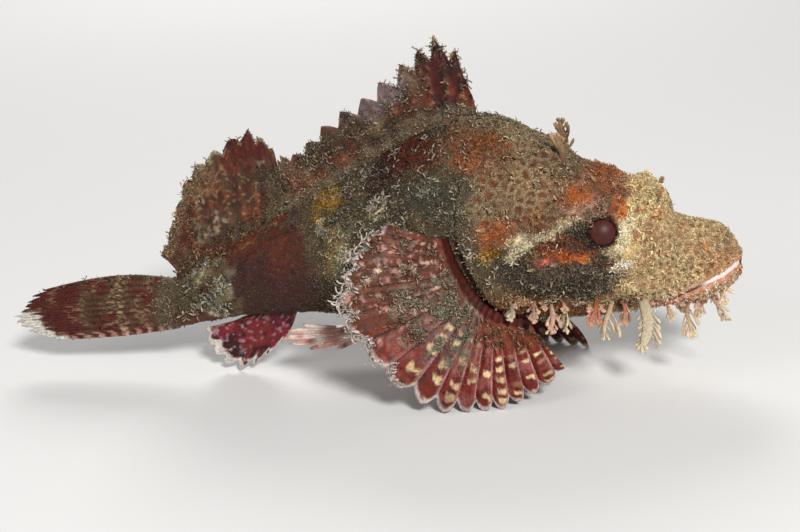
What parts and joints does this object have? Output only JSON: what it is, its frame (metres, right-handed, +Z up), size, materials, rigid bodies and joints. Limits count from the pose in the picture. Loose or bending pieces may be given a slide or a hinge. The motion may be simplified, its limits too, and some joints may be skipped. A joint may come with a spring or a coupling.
{
  "type": "papuan scorpionfish model",
  "caption": "Life-size still model of a resting papuan scorpionfish with spiny dorsal sail, fanned pectoral fins and tasselled chin.",
  "frame": {"origin": "centre of the bounding box at floor level, on the flats of the fins that the fish rests on", "axes": "+X from the tail to the snout, +Y to the fish's own left, +Z up"},
  "size_m": [0.2006, 0.0748, 0.092],
  "materials": {
    "head_skin": "tan and cream skin under small flaps and papillae",
    "jaw_skin": "pinkish orange skin with pale bars",
    "mouth_lining": "smooth wet lilac white",
    "eye": "wet dark maroon",
    "body_skin": "mottled maroon, grey green and tan skin under curled filaments",
    "fin_skin": "dark red and brown membrane with pale bands",
    "pectoral_skin": "red, pink and cream mottled membrane with white ray tips"
  },
  "bodies": {
    "root": {"head": "head_skin", "lower_jaw": "jaw_skin", "mouth_lining": "mouth_lining", "eye_right": "eye", "eye_left": "eye", "trunk": "body_skin", "tail_stock": "body_skin", "spiny_dorsal_fin": "fin_skin", "soft_dorsal_fin": "fin_skin", "anal_fin": "fin_skin", "caudal_fin": "fin_skin", "pectoral_fin_right": "pectoral_skin", "pectoral_fin_left": "pectoral_skin", "pelvic_fin_right": "fin_skin", "pelvic_fin_left": "fin_skin"}
  },
  "joints": []
}
